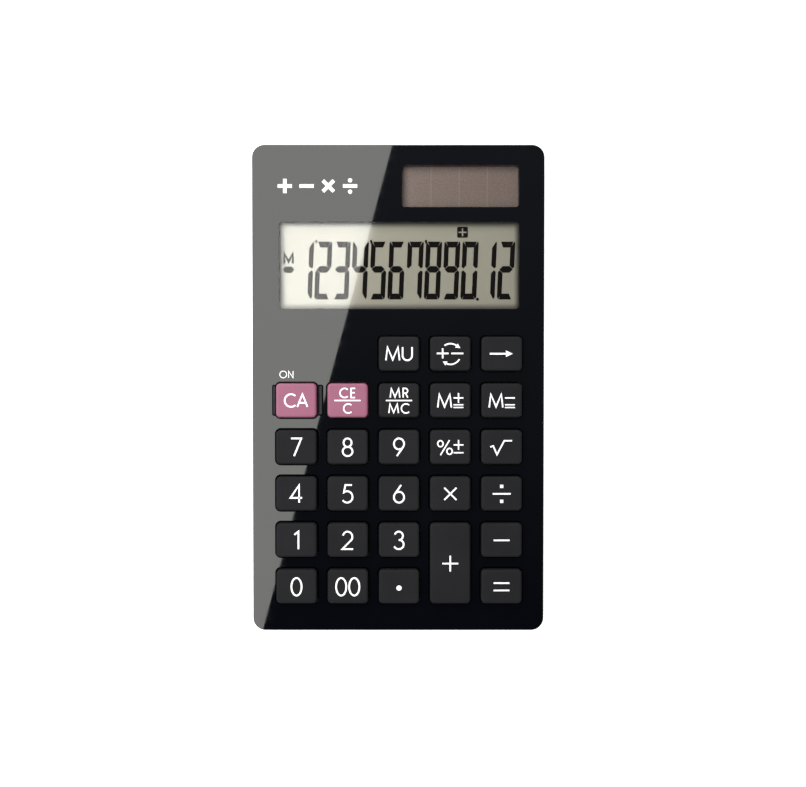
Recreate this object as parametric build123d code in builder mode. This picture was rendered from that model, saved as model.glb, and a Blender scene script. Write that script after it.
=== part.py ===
"""Pocket calculator: a flat glossy face, 27 separate keys, a display window and a solar strip.

Millimetres. +Z points out of the face, +Y towards the display end and +X to the right of the
reader. The origin is the centre of the flat back, on the surface that the calculator rests on.
"""

from build123d import *
import os

os.makedirs("parts", exist_ok=True)

# ---- Driving dimensions ---------------------------------------------------------------------

body_width = 70.0
body_length = 116.6
body_corner = 3.0
wall = 1.5

# Heights of the layers, from the back to the face
floor_top = 1.2
pad_top = 1.6
board_bottom = 2.4
board_top = 3.2
mat_top = 3.7
split_height = 5.0
key_bottom = 5.2
key_flange_top = 5.75
deck_bottom = 5.8
deck_top = 7.2
face_top = 8.4
key_top = 10.2

# Joint between the two case halves
lip_thick = 0.7
lip_height = 0.5
lip_clearance = 0.05
back_edge_radius = 0.8

# Blank field sunk into the back, as for a label
field_centre = (0.0, 8.0)
field_size = (44.0, 16.0)
field_corner = 1.5
field_depth = 0.15

# Ribs under the deck that place the display glass and the solar cell
rib_thick = 0.8
rib_clearance = 0.3
glass_rib_length = 18.0
cell_rib_length = 9.0
cell_far_rib_length = 24.0

# Case screws: self-tapping, from the back
screw_places = [(-31.9, 55.0), (31.9, 55.0), (-31.9, 14.6), (31.9, 14.6), (-30.0, -54.9), (30.0, -54.9)]
screw_head_radius = 1.4
screw_head_low = 0.7
screw_seat = 1.6
screw_shank_radius = 0.85
screw_tip = 6.6
screw_running = 0.03
screw_hole_spare = 0.2
recess_radius = 1.5
post_radius = 1.7
post_foot_radius = 2.1
cross_length = 1.7
cross_width = 0.4
cross_depth = 0.5
head_edge_radius = 0.2
tip_chamfer = 0.4

# Keys: five columns and six rows, and the plus key is two rows tall
column_pitch = 12.28
row_pitch = 11.163
column_middle = 0.17
first_row = 8.365
column_x = [column_middle + column_pitch * (i - 2) for i in range(5)]
row_y = [first_row - row_pitch * i for i in range(6)]
key_width = 9.66
key_length = 8.14
key_corner = 1.0
key_edge_radius = 0.55
key_wall = 1.0
key_roof = 1.3
key_inner_corner = 0.5
flange_lip = 0.7
flange_corner = 1.2
plunger_radius = 1.8
face_gap = 0.32
deck_gap = 0.25
hole_corner = 1.3
hole_chamfer = 0.12

# Power key guard: two ribs of the front case, through a wider cut-out of the face
guard_spans = [(-5.6, -5.18), (5.4, 6.1)]
guard_length = 6.9
guard_end_spare = 0.01
guard_proud = 0.25
guard_edge_radius = 0.15
guard_gap = 0.18
guard_hole_corner = 0.35

# Windows
display_centre = (0.18, 29.5)
display_size = (57.5, 20.8)
display_corner = 0.9
solar_centre = (14.85, 48.45)
solar_size = (28.0, 9.96)
solar_corner = 0.8
lens_flange = 1.0
lens_flange_top = 7.7
lens_gap = 0.03
lens_edge = 0.06
panel_edge_radius = 0.2

# Pins that place the face panel on the deck
pin_places = [(-32.6, 36.0), (32.6, 36.0), (-32.6, -20.0), (32.6, -20.0)]
pin_radius = 0.8
pin_length = 0.8
pin_hole_spare = 0.1

# Keypad mat and its domes
mat_centre = (0.17, -19.6)
mat_size = (61.5, 65.8)
mat_corner = 1.0
dome_foot_radius = 3.4
dome_top_radius = 2.2
dome_wall = 0.5
pill_low = 4.1
pill_high = 4.8
pill_radius = 1.3

# Circuit board and its parts
board_margin = 2.1
board_corner = 1.5
board_notch = 2.2
peg_radius = 1.1
peg_places = [(-18.4, -8.7), (18.7, -8.7), (-18.4, -31.2), (18.7, -31.2)]
peg_places += [(0.0, -54.0), (0.0, 14.6), (-14.0, 30.0)]
chip_centre = (8.0, 30.0)
chip_radius = 4.0
chip_height = 0.9
chip_edge_radius = 0.8
capacitor_places = [(20.0, 25.0), (20.0, 35.0)]
resistor_places = [(-4.0, 36.0), (-4.0, 33.0)]
diode_centre = (22.0, 48.0)
capacitor_size = (3.2, 1.6, 0.9)
resistor_size = (2.0, 1.25, 0.5)
diode_size = (2.6, 1.4, 1.0)
chip_chamfer = 0.1

# Display stack, from the board up
foam_top = 3.9
reflector_top = 4.05
lower_glass_top = 4.75
upper_glass_top = 5.45
polariser_top = 5.6
glass_width = 60.4
glass_far = 41.9
glass_near = 16.3
ledge_far = 18.4
polariser_width = 59.6
foam_width = 58.0
strip_width = 56.0
sheet_corner = 0.3
foam_edges = (19.0, 41.0)
reflector_edges = (18.5, 41.8)
polariser_edges = (17.6, 41.5)
strip_edges = (16.6, 18.2)
gasket_edges = (17.6, 41.2)
gasket_spare = 0.3

# Solar cell
cell_thick = 1.1
solar_cell_size = (30.2, 11.7)
solar_cell_centre = (14.85, 48.4)
solar_cell_corner = 0.2
wire_radius = 0.35
wire_touch = 0.02
wire_bend = 12.0
wire_rows = [51.5, 46.0]
wire_start = -4.5
wire_rise_start = 2.0
wire_rise_end = 8.0
wire_end = 11.5

# Button cell and its cover
coin_centre = (-18.6, 49.4)
coin_radius = 5.8
coin_height = 3.05
coin_bottom = 1.05
coin_step = 0.3
coin_step_inset = 1.0
coin_edge_radius = 0.4
ring_inner = 6.0
ring_outer = 6.9
ring_top = 4.0
ring_clearance = 0.2
cover_centre = (-20.1, 49.4)
cover_size = (17.4, 13.0)
cover_thick = 1.0
cover_corner = 1.5
cover_gap = 0.15
cover_edge_radius = 0.15
cover_screw = (-26.7, 49.4)
cover_screw_head_low = 0.05
cover_screw_seat = 0.6
cover_screw_tip = 3.2
cover_boss_top = 3.8
cover_boss_roof = 0.4
chamber_margin = 0.6
tongue_centre = (-11.4, 49.4)
tongue_size = (2.0, 6.0)
tongue_low = 0.45
tongue_high = 0.95
tongue_corner = 0.2
slot_centre = (-11.1, 49.4)
slot_size = (1.8, 6.6)
slot_low = 0.4
slot_corner = 0.3

# Battery contacts: thin strips on the board, one at the cell's side and one over it
contact_gap_centre = (-12.2, 49.4)
contact_gap_size = (1.6, 4.0)
strip_thick = 0.2
strip_corner = 0.05
side_strip_low = 1.8
side_strip_x = -12.65
side_strip_width = 3.0
side_pad_centre = (-10.6, 49.4)
side_pad_length = 4.3
arm_clearance = 0.1
arm_centre = (-15.2, 53.0)
arm_size = (11.2, 2.0)
arm_riser_x = -9.7
arm_riser_width = 2.2
arm_pad_centre = (-8.7, 53.1)
arm_pad_size = (2.2, 3.0)
arm_touch_place = (-18.6, 53.0)
arm_touch_radius = 0.6


def save(part, name):
    """Label a finished piece and write it under its own name."""
    part.label = name
    export_step(part, f"parts/{name}.step")


def rounded(centre, size, radius, grow=0.0):
    """Draw a rounded rectangle into the sketch that is open, grown outwards by grow."""
    with Locations(centre):
        RectangleRounded(size[0] + 2 * grow, size[1] + 2 * grow, radius)


def layer(low, high, centre, size, radius, grow=0.0, mode=Mode.ADD):
    """Add or cut a rounded slab between two heights in the part that is open."""
    with BuildSketch(Plane.XY.offset(low)) as profile:
        rounded(centre, size, radius, grow)
    extrude(profile.sketch, amount=high - low, mode=mode)


def discs(low, high, places, radius, mode=Mode.ADD):
    """Add or cut upright round bars between two heights in the part that is open."""
    with BuildSketch(Plane.XY.offset(low)) as profile:
        with Locations(*places):
            Circle(radius)
    extrude(profile.sketch, amount=high - low, mode=mode)


# The keys: name, column, row, and the rows that the key covers
key_table = [
    ("key_memory_total", 2, 0, 1),
    ("key_sign_change", 3, 0, 1),
    ("key_backspace", 4, 0, 1),
    ("key_clear_all", 0, 1, 1),
    ("key_clear_entry", 1, 1, 1),
    ("key_memory_recall", 2, 1, 1),
    ("key_memory_plus", 3, 1, 1),
    ("key_memory_minus", 4, 1, 1),
    ("key_7", 0, 2, 1),
    ("key_8", 1, 2, 1),
    ("key_9", 2, 2, 1),
    ("key_percent", 3, 2, 1),
    ("key_square_root", 4, 2, 1),
    ("key_4", 0, 3, 1),
    ("key_5", 1, 3, 1),
    ("key_6", 2, 3, 1),
    ("key_multiply", 3, 3, 1),
    ("key_divide", 4, 3, 1),
    ("key_1", 0, 4, 1),
    ("key_2", 1, 4, 1),
    ("key_3", 2, 4, 1),
    ("key_plus", 3, 4, 2),
    ("key_minus", 4, 4, 1),
    ("key_0", 0, 5, 1),
    ("key_double_zero", 1, 5, 1),
    ("key_decimal_point", 2, 5, 1),
    ("key_equals", 4, 5, 1),
]


def key_box(column, row, rows):
    """Centre and length of a key that covers one or two rows."""
    last = row + rows - 1
    centre = (column_x[column], (row_y[row] + row_y[last]) / 2)
    return centre, key_length + (rows - 1) * row_pitch


key_boxes = [key_box(column, row, rows) for _, column, row, rows in key_table]
guard_centre = (column_x[0], row_y[1])


def key_holes(low, high, gap, radius):
    """Cut a hole for every key between two heights."""
    for centre, length in key_boxes:
        layer(low, high, centre, (key_width, length), radius, gap, Mode.SUBTRACT)


# ---- Rear case ------------------------------------------------------------------------------

inner_size = (body_width - 2 * wall, body_length - 2 * wall)
with BuildPart() as rear_case:
    layer(0, split_height, (0, 0), (body_width, body_length), body_corner)
    fillet(rear_case.faces().sort_by(Axis.Z)[0].edges(), back_edge_radius)
    layer(floor_top, split_height, (0, 0), inner_size, body_corner - wall, mode=Mode.SUBTRACT)
    # Lip that stands inside the front case
    with BuildSketch(Plane.XY.offset(split_height)):
        rounded((0, 0), inner_size, body_corner - wall + lip_thick, lip_thick)
        with Locations((0, 0)):
            RectangleRounded(*inner_size, body_corner - wall, mode=Mode.SUBTRACT)
    extrude(amount=lip_height)
    # Screw posts: a wide foot that the board rests on, then a slim post
    discs(floor_top, board_bottom, screw_places, post_foot_radius)
    discs(board_bottom, split_height, screw_places, post_radius)
    discs(floor_top, board_bottom, peg_places, peg_radius)
    # Battery chamber: thick pad, ring for the cell and boss for the cover's screw
    layer(floor_top, pad_top, cover_centre, cover_size, cover_corner, chamber_margin)
    discs(pad_top, ring_top, [coin_centre], ring_outer)
    discs(pad_top, cover_boss_top, [cover_screw], post_radius)
    discs(0, ring_top, [coin_centre], ring_inner, Mode.SUBTRACT)
    layer(0, cover_thick, cover_centre, cover_size, cover_corner, cover_gap, Mode.SUBTRACT)
    # Slot under the floor for the cover's tongue, and the gap in the ring for a contact
    layer(slot_low, cover_thick, slot_centre, slot_size, slot_corner, mode=Mode.SUBTRACT)
    layer(pad_top, ring_top, contact_gap_centre, contact_gap_size, tongue_corner, mode=Mode.SUBTRACT)
    boss_hole_top = cover_boss_top - cover_boss_roof
    discs(cover_thick, boss_hole_top, [cover_screw], screw_shank_radius + screw_running, Mode.SUBTRACT)
    # Screw holes and the recesses for their heads
    discs(0, screw_seat, screw_places, recess_radius, Mode.SUBTRACT)
    discs(0, split_height, screw_places, screw_shank_radius + screw_running, Mode.SUBTRACT)
    layer(0, field_depth, field_centre, field_size, field_corner, mode=Mode.SUBTRACT)
save(rear_case.part, "rear_case")

# ---- Front case -----------------------------------------------------------------------------

with BuildPart() as front_case:
    layer(split_height, deck_top, (0, 0), (body_width, body_length), body_corner)
    layer(split_height, deck_bottom, (0, 0), inner_size, body_corner - wall, mode=Mode.SUBTRACT)
    discs(split_height, deck_bottom, screw_places, post_radius)
    # Rebate that takes the rear case's lip
    rebate = lip_thick + lip_clearance
    with BuildSketch(Plane.XY.offset(split_height)):
        rounded((0, 0), inner_size, body_corner - wall + rebate, rebate)
        with Locations((0, 0)):
            RectangleRounded(*inner_size, body_corner - wall, mode=Mode.SUBTRACT)
    extrude(amount=lip_height + lip_clearance, mode=Mode.SUBTRACT)
    screw_hole_top = screw_tip + screw_hole_spare
    discs(split_height, screw_hole_top, screw_places, screw_shank_radius + screw_running, Mode.SUBTRACT)
    # Windows and key holes
    layer(deck_bottom, deck_top, display_centre, display_size, display_corner, mode=Mode.SUBTRACT)
    layer(deck_bottom, deck_top, solar_centre, solar_size, solar_corner, mode=Mode.SUBTRACT)
    key_holes(deck_bottom, deck_top, deck_gap, hole_corner - face_gap + deck_gap)
    # Ribs that place the display glass and the solar cell
    with BuildSketch(Plane.XY.offset(split_height)):
        glass_rib_offset = glass_width / 2 + rib_clearance + rib_thick / 2
        for side in (-1, 1):
            with Locations((display_centre[0] + side * glass_rib_offset, display_centre[1])):
                Rectangle(rib_thick, glass_rib_length)
        cell_rib_x = solar_cell_centre[0] - solar_cell_size[0] / 2 - rib_clearance - rib_thick / 2
        with Locations((cell_rib_x, solar_cell_centre[1])):
            Rectangle(rib_thick, cell_rib_length)
        cell_rib_y = solar_cell_centre[1] + solar_cell_size[1] / 2 + rib_clearance + rib_thick / 2
        with Locations((solar_cell_centre[0], cell_rib_y)):
            Rectangle(cell_far_rib_length, rib_thick)
    extrude(amount=deck_bottom - split_height)
    # Guard ribs beside the power key
    with BuildSketch(Plane.XY.offset(deck_top)):
        for left, right in guard_spans:
            with Locations((guard_centre[0] + (left + right) / 2, guard_centre[1])):
                RectangleRounded(right - left, guard_length, (right - left) / 2 - guard_end_spare)
    extrude(amount=face_top + guard_proud - deck_top)
    guard_tops = front_case.faces().filter_by(Plane.XY).group_by(Axis.Z)[-1]
    fillet(guard_tops.edges(), guard_edge_radius)
    pin_hole_low = deck_top - pin_length - pin_hole_spare
    discs(pin_hole_low, deck_top, pin_places, pin_radius + lip_clearance, Mode.SUBTRACT)
save(front_case.part, "front_case")

# ---- Face panel -----------------------------------------------------------------------------

with BuildPart() as face_panel:
    layer(deck_top, face_top, (0, 0), (body_width, body_length), body_corner)
    fillet(face_panel.faces().sort_by(Axis.Z)[-1].edges(), panel_edge_radius)
    for centre, size, corner in (
        (display_centre, display_size, display_corner),
        (solar_centre, solar_size, solar_corner),
    ):
        layer(deck_top, face_top, centre, size, corner + lens_gap, lens_gap, Mode.SUBTRACT)
        layer(
            deck_top,
            lens_flange_top,
            centre,
            size,
            corner + lens_flange,
            lens_flange + lens_gap,
            Mode.SUBTRACT,
        )
    key_holes(deck_top, face_top, face_gap, hole_corner)
    # Wider cut-out for the guard ribs
    guard_left, guard_right = guard_spans[0][0], guard_spans[1][1]
    layer(
        deck_top,
        face_top,
        (guard_centre[0] + (guard_left + guard_right) / 2, guard_centre[1]),
        (guard_right - guard_left, guard_length),
        guard_hole_corner,
        guard_gap,
        Mode.SUBTRACT,
    )
    # A fine chamfer round every key hole
    top_face = face_panel.faces().filter_by(Plane.XY).sort_by(Axis.Z)[-1]
    hole_wires = [w for w in top_face.inner_wires() if w.bounding_box().max.Y < row_y[0] + key_length]
    chamfer([edge for wire in hole_wires for edge in wire.edges()], hole_chamfer)
    discs(deck_top - pin_length, deck_top, pin_places, pin_radius)
save(face_panel.part, "face_panel")


def make_lens(name, centre, size, corner):
    """A clear insert: its top lies flush with the face and its flange hides under the panel."""
    with BuildPart() as lens:
        layer(deck_top, lens_flange_top, centre, size, corner + lens_flange, lens_flange)
        layer(lens_flange_top, face_top, centre, size, corner)
        chamfer(lens.faces().sort_by(Axis.Z)[-1].edges(), lens_edge)
    save(lens.part, name)


make_lens("display_lens", display_centre, display_size, display_corner)
make_lens("solar_lens", solar_centre, solar_size, solar_corner)

# ---- Screws ---------------------------------------------------------------------------------


def make_screws(name, places, head_low, seat, tip):
    """Self-tapping screws with a cross in their heads, which face the back."""
    with BuildPart() as screws:
        discs(head_low, seat, places, screw_head_radius)
        fillet(screws.faces().group_by(Axis.Z)[0].edges(), head_edge_radius)
        discs(seat, tip, places, screw_shank_radius)
        chamfer(screws.faces().group_by(Axis.Z)[-1].edges(), tip_chamfer)
        with BuildSketch(Plane.XY.offset(head_low)):
            with Locations(*places):
                Rectangle(cross_length, cross_width)
                Rectangle(cross_width, cross_length)
        extrude(amount=cross_depth, mode=Mode.SUBTRACT)
    save(screws.part, name)


make_screws("case_screws", screw_places, screw_head_low, screw_seat, screw_tip)

# ---- Keys -----------------------------------------------------------------------------------


def make_key(name, centre, length):
    """A hollow cap with a flange that stays under the deck and a plunger over its dome."""
    size = (key_width, length)
    with BuildPart() as key:
        layer(key_bottom, key_flange_top, centre, size, flange_corner, flange_lip)
        layer(key_flange_top, key_top, centre, size, key_corner)
        fillet(key.faces().sort_by(Axis.Z)[-1].edges(), key_edge_radius)
        layer(key_bottom, key_top - key_roof, centre, size, key_inner_corner, -key_wall, Mode.SUBTRACT)
        discs(key_bottom, key_top - key_roof, [centre], plunger_radius)
    save(key.part, name)


for (key_name, _, _, _), (key_centre, length) in zip(key_table, key_boxes):
    make_key(key_name, key_centre, length)

# ---- Keypad mat: a sheet with a hollow dome and a carbon pill under every key ----------------

dome_places = [centre for centre, _ in key_boxes]
with BuildPart() as keypad_mat:
    layer(board_top, mat_top, mat_centre, mat_size, mat_corner)
    with Locations(*[(x, y, mat_top) for x, y in dome_places]):
        Cone(
            dome_foot_radius,
            dome_top_radius,
            key_bottom - mat_top,
            align=(Align.CENTER, Align.CENTER, Align.MIN),
        )
    with Locations(*[(x, y, board_top) for x, y in dome_places]):
        Cone(
            dome_foot_radius - dome_wall,
            dome_top_radius - dome_wall,
            key_bottom - dome_wall - board_top,
            align=(Align.CENTER, Align.CENTER, Align.MIN),
            mode=Mode.SUBTRACT,
        )
    discs(pill_low, pill_high, dome_places, pill_radius)
save(keypad_mat.part, "keypad_mat")

# ---- Circuit board and its parts ------------------------------------------------------------

with BuildPart() as circuit_board:
    board_size = (body_width - 2 * board_margin, body_length - 2 * board_margin)
    layer(board_bottom, board_top, (0, 0), board_size, board_corner)
    discs(board_bottom, board_top, screw_places, post_radius + ring_clearance, Mode.SUBTRACT)
    discs(board_bottom, board_top, [coin_centre], ring_outer + ring_clearance, Mode.SUBTRACT)
    discs(board_bottom, board_top, [cover_screw], board_notch, Mode.SUBTRACT)
save(circuit_board.part, "circuit_board")

with BuildPart() as controller_chip:
    discs(board_bottom - chip_height, board_bottom, [chip_centre], chip_radius)
    fillet(controller_chip.faces().sort_by(Axis.Z)[0].edges(), chip_edge_radius)
save(controller_chip.part, "controller_chip")


def make_chips(name, places, size):
    """Small blocks soldered under the board, with their edges broken."""
    with BuildPart() as chips:
        with BuildSketch(Plane.XY.offset(board_bottom - size[2])):
            with Locations(*places):
                Rectangle(size[0], size[1])
        extrude(amount=size[2])
        chamfer(chips.faces().group_by(Axis.Z)[0].edges(), chip_chamfer)
    save(chips.part, name)


make_chips("capacitors", capacitor_places, capacitor_size)
make_chips("resistors", resistor_places, resistor_size)
make_chips("diode", [diode_centre], diode_size)

# ---- Display stack --------------------------------------------------------------------------


def sheet(name, low, high, width, edges):
    """A flat layer of the display, centred on the window across and placed by its two edges."""
    near, far = edges
    with BuildPart() as flat:
        layer(low, high, (display_centre[0], (near + far) / 2), (width, far - near), sheet_corner)
    save(flat.part, name)


sheet("display_foam_pad", board_top, foam_top, foam_width, foam_edges)
sheet("display_reflector", foam_top, reflector_top, polariser_width, reflector_edges)
sheet("display_lower_glass", reflector_top, lower_glass_top, glass_width, (ledge_far, glass_far))
sheet("display_upper_glass", lower_glass_top, upper_glass_top, glass_width, (glass_near, glass_far))
sheet("display_polariser", upper_glass_top, polariser_top, polariser_width, polariser_edges)
sheet("display_connector_strip", board_top, lower_glass_top, strip_width, strip_edges)

gasket_middle = (display_centre[0], sum(gasket_edges) / 2)
gasket_size = (polariser_width, gasket_edges[1] - gasket_edges[0])
with BuildPart() as display_gasket:
    layer(polariser_top, deck_bottom, gasket_middle, gasket_size, sheet_corner)
    layer(
        polariser_top,
        deck_bottom,
        display_centre,
        display_size,
        display_corner,
        gasket_spare,
        Mode.SUBTRACT,
    )
save(display_gasket.part, "display_gasket")

# ---- Solar cell and its wires ---------------------------------------------------------------

cell_bottom = deck_bottom - cell_thick
with BuildPart() as solar_cell:
    layer(cell_bottom, deck_bottom, solar_cell_centre, solar_cell_size, solar_cell_corner)
save(solar_cell.part, "solar_cell")


def make_wire(name, y):
    """A short lead that lies on the board and rises to the underside of the solar cell."""
    low = board_top + wire_radius + wire_touch
    high = cell_bottom - wire_radius - wire_touch
    with BuildPart() as wire:
        with BuildLine() as route:
            FilletPolyline(
                (wire_start, y, low),
                (wire_rise_start, y, low),
                (wire_rise_end, y, high),
                (wire_end, y, high),
                radius=wire_bend,
            )
        with BuildSketch(Plane(origin=route.line @ 0, z_dir=route.line % 0)):
            Circle(wire_radius)
        sweep()
    save(wire.part, name)


make_wire("solar_wire_positive", wire_rows[0])
make_wire("solar_wire_negative", wire_rows[1])

# ---- Button cell, contacts and cover --------------------------------------------------------

coin_top = coin_bottom + coin_height
with BuildPart() as button_cell:
    discs(coin_bottom, coin_top - coin_step, [coin_centre], coin_radius)
    discs(coin_top - coin_step, coin_top, [coin_centre], coin_radius - coin_step_inset)
    fillet(button_cell.faces().sort_by(Axis.Z)[0].edges(), coin_edge_radius)
save(button_cell.part, "button_cell")

strip_top = board_top + strip_thick
with BuildPart() as battery_contact_positive:
    side_strip_centre = (side_strip_x, coin_centre[1])
    layer(side_strip_low, strip_top, side_strip_centre, (strip_thick, side_strip_width), strip_corner)
    layer(board_top, strip_top, side_pad_centre, (side_pad_length, side_strip_width), strip_corner)
save(battery_contact_positive.part, "battery_contact_positive")

arm_low = coin_top + arm_clearance
arm_top = arm_low + strip_thick
with BuildPart() as battery_contact_negative:
    arm_riser_centre = (arm_riser_x, arm_pad_centre[1])
    layer(board_top, strip_top, arm_pad_centre, arm_pad_size, strip_corner)
    layer(board_top, arm_top, arm_riser_centre, (strip_thick, arm_riser_width), strip_corner)
    layer(arm_low, arm_top, arm_centre, arm_size, strip_corner)
    discs(coin_top, arm_low, [arm_touch_place], arm_touch_radius)
save(battery_contact_negative.part, "battery_contact_negative")

with BuildPart() as battery_cover:
    layer(0, cover_thick, cover_centre, cover_size, cover_corner)
    fillet(battery_cover.faces().sort_by(Axis.Z)[0].edges(), cover_edge_radius)
    layer(tongue_low, tongue_high, tongue_centre, tongue_size, tongue_corner)
    discs(0, cover_screw_seat, [cover_screw], screw_head_radius + cover_gap, Mode.SUBTRACT)
    discs(0, cover_thick, [cover_screw], screw_shank_radius + cover_gap, Mode.SUBTRACT)
save(battery_cover.part, "battery_cover")

make_screws(
    "battery_cover_screw",
    [cover_screw],
    cover_screw_head_low,
    cover_screw_seat,
    cover_screw_tip,
)
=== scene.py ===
"""The looks of the pocket calculator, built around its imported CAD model.

Metres, in the row frame: +Z out of the face, +Y towards the display end, +X to the right.
Plan positions below are in millimetres from the middle of the face, and MM turns them to metres.
"""

import math

import bpy
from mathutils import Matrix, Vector


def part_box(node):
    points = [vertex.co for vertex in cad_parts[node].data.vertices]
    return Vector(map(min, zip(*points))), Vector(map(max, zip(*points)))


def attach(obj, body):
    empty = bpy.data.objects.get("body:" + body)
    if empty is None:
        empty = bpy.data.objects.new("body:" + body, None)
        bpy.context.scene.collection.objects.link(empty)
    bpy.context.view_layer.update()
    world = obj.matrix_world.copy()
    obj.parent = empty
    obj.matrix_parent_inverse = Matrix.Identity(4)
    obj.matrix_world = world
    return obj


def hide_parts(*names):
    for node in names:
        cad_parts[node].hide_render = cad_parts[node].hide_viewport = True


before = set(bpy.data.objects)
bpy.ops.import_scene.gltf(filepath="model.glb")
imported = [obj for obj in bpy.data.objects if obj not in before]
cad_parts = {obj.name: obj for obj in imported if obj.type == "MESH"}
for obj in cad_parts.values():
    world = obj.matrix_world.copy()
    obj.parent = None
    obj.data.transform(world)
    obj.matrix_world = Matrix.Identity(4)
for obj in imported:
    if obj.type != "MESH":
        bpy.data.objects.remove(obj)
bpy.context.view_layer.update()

MM = 0.001
CASE = "case"
face_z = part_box("face_panel")[1].z
key_top_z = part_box("key_5")[1].z

# ---- Printing and lettering: heights in metres, stroke widths in millimetres ------------------

PRINT_THICK = 0.02 * MM
PRINT_STEP = 0.0004 * MM
STROKE = 0.37
DIGIT_STROKE = 0.39
THIN_STROKE = 0.34
SMALL_STROKE = 0.31
MITRE_LIMIT = 0.4
ARC_STEPS = 22
RING_STEPS = 36
DOT_STEPS = 28
CORNER_STEPS = 8

# ---- The window inserts: the CAD model's flange and edge, in millimetres ----------------------

LENS_FLANGE = 1.0
LENS_FLANGE_THICK = 0.5
LENS_CHAMFER = 0.06
DISPLAY_LENS_CORNER = 0.9
SOLAR_LENS_CORNER = 0.8

# ---- Materials: noise detail, clear plastic, and the display's front film under it -------------

PATCH_DETAIL = 4.0
GRAIN_DETAIL = 3.0
ACRYLIC_IOR = 1.5
ACRYLIC_CLEAR = (0.97, 0.97, 0.965, 1)
ACRYLIC_ROUGHNESS = (0.012, 0.03)
ACRYLIC_GRAIN = 400
ACRYLIC_TINT_SCALE = 300
FILM_IOR = 1.95
# Painted shade: the colour the film darkens to at the window's edges
FILM_PAINTED_SHADE = (0.10, 0.095, 0.08, 1)
# Specular level at the film's edges and well inside, lowered at the edges as painted shade
FILM_SHINE = (0.12, 0.5)
FILM_ROUGHNESS = (0.05, 0.07)
FILM_PATCH = 40
FILM_GRAIN = 15000

# Width of the painted shade along the film's left, right, near and far edges, in millimetres
FILM_PAINTED_SHADE_MARGINS = (1.5, 1.1, 1.5, 1.2)


# ---- Small tools ----------------------------------------------------------------------------


def middle(node):
    """Centre of a CAD node in plan, in millimetres."""
    low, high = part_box(node)
    return Vector(((low.x + high.x) / 2 / MM, (low.y + high.y) / 2 / MM))


def arc(cx, cy, rx, ry, start, end, steps=ARC_STEPS):
    """Points along an arc of an ellipse, from one angle to another in degrees."""
    points = []
    for i in range(steps + 1):
        angle = math.radians(start + (end - start) * i / steps)
        points.append((cx + rx * math.cos(angle), cy + ry * math.sin(angle)))
    return points


def ring(cx, cy, rx, ry, steps=RING_STEPS):
    """Points of a closed ellipse."""
    return arc(cx, cy, rx, ry, 0, 360 - 360 / steps, steps - 1)


def moved(points, x, y):
    """Plan points moved by an offset."""
    return [(x + px, y + py) for px, py in points]


def rounded_outline(low, high, radius):
    """Corner points of a rounded rectangle, anticlockwise."""
    points = []
    for cx, cy, start in (
        (high[0] - radius, low[1] + radius, -90),
        (high[0] - radius, high[1] - radius, 0),
        (low[0] + radius, high[1] - radius, 90),
        (low[0] + radius, low[1] + radius, 180),
    ):
        points += arc(cx, cy, radius, radius, start, start + 90, CORNER_STEPS)
    return points


def add_piece(name, verts, faces, material, body=CASE):
    """A new mesh piece in the row frame, riding on a body."""
    mesh = bpy.data.meshes.new(name)
    mesh.from_pydata(verts, [], faces)
    mesh.materials.append(material)
    mesh.update()
    piece = bpy.data.objects.new(name, mesh)
    bpy.context.collection.objects.link(piece)
    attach(piece, body)
    return piece


class Print:
    """Thin flat shapes on one plane, gathered into one mesh. Plan units are millimetres."""

    def __init__(self, z, thick=PRINT_THICK):
        self.low = z
        self.thick = thick
        self.verts = []
        self.faces = []
        self.count = 0

    def _heights(self):
        """Each shape stands a hair higher than the last, so crossing strokes never share a face."""
        self.count += 1
        return self.low, self.low + self.thick + self.count * PRINT_STEP

    def plate(self, outline):
        """A filled shape with one outline, given anticlockwise."""
        low, high = self._heights()
        first = len(self.verts)
        size = len(outline)
        for z in (low, high):
            self.verts += [(x * MM, y * MM, z) for x, y in outline]
        self.faces.append([first + size + i for i in range(size)])
        self.faces.append([first + size - 1 - i for i in range(size)])
        for i in range(size):
            j = (i + 1) % size
            self.faces.append([first + i, first + j, first + size + j, first + size + i])

    def stroke(self, points, width, closed=False):
        """A line of even width, mitred at its corners and cut square at its ends."""
        low, high = self._heights()
        points = [Vector(p) for p in points]
        size = len(points)
        first = len(self.verts)
        for i, point in enumerate(points):
            into = point - points[i - 1] if closed or i else points[1] - point
            out = points[(i + 1) % size] - point if closed or i < size - 1 else into
            into, out = into.normalized(), out.normalized()
            across = Vector((-into.y - out.y, into.x + out.x)).normalized()
            reach = width / 2 / max(MITRE_LIMIT, across.dot(Vector((-into.y, into.x))))
            left, right = point + across * reach, point - across * reach
            for side in (left, right):
                for z in (low, high):
                    self.verts.append((side.x * MM, side.y * MM, z))
        for i in range(size if closed else size - 1):
            a, b = first + 4 * i, first + 4 * ((i + 1) % size)
            self.faces.append([a + 1, a + 3, b + 3, b + 1])
            self.faces.append([a, b, b + 2, a + 2])
            self.faces.append([a, a + 1, b + 1, b])
            self.faces.append([a + 2, b + 2, b + 3, a + 3])
        if not closed:
            a, b = first, first + 4 * (size - 1)
            self.faces.append([a, a + 2, a + 3, a + 1])
            self.faces.append([b, b + 1, b + 3, b + 2])

    def line(self, start, end, width):
        """A straight stroke."""
        self.stroke([start, end], width)

    def dot(self, centre, radius):
        """A filled circle."""
        self.plate(ring(centre[0], centre[1], radius, radius, DOT_STEPS))

    def make(self, name, material, body=CASE):
        """Turns the gathered shapes into one piece."""
        add_piece(name, self.verts, self.faces, material, body)


# ---- Lettering: centre lines of thin round letters, one unit tall, centred on x = 0 ----------

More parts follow.
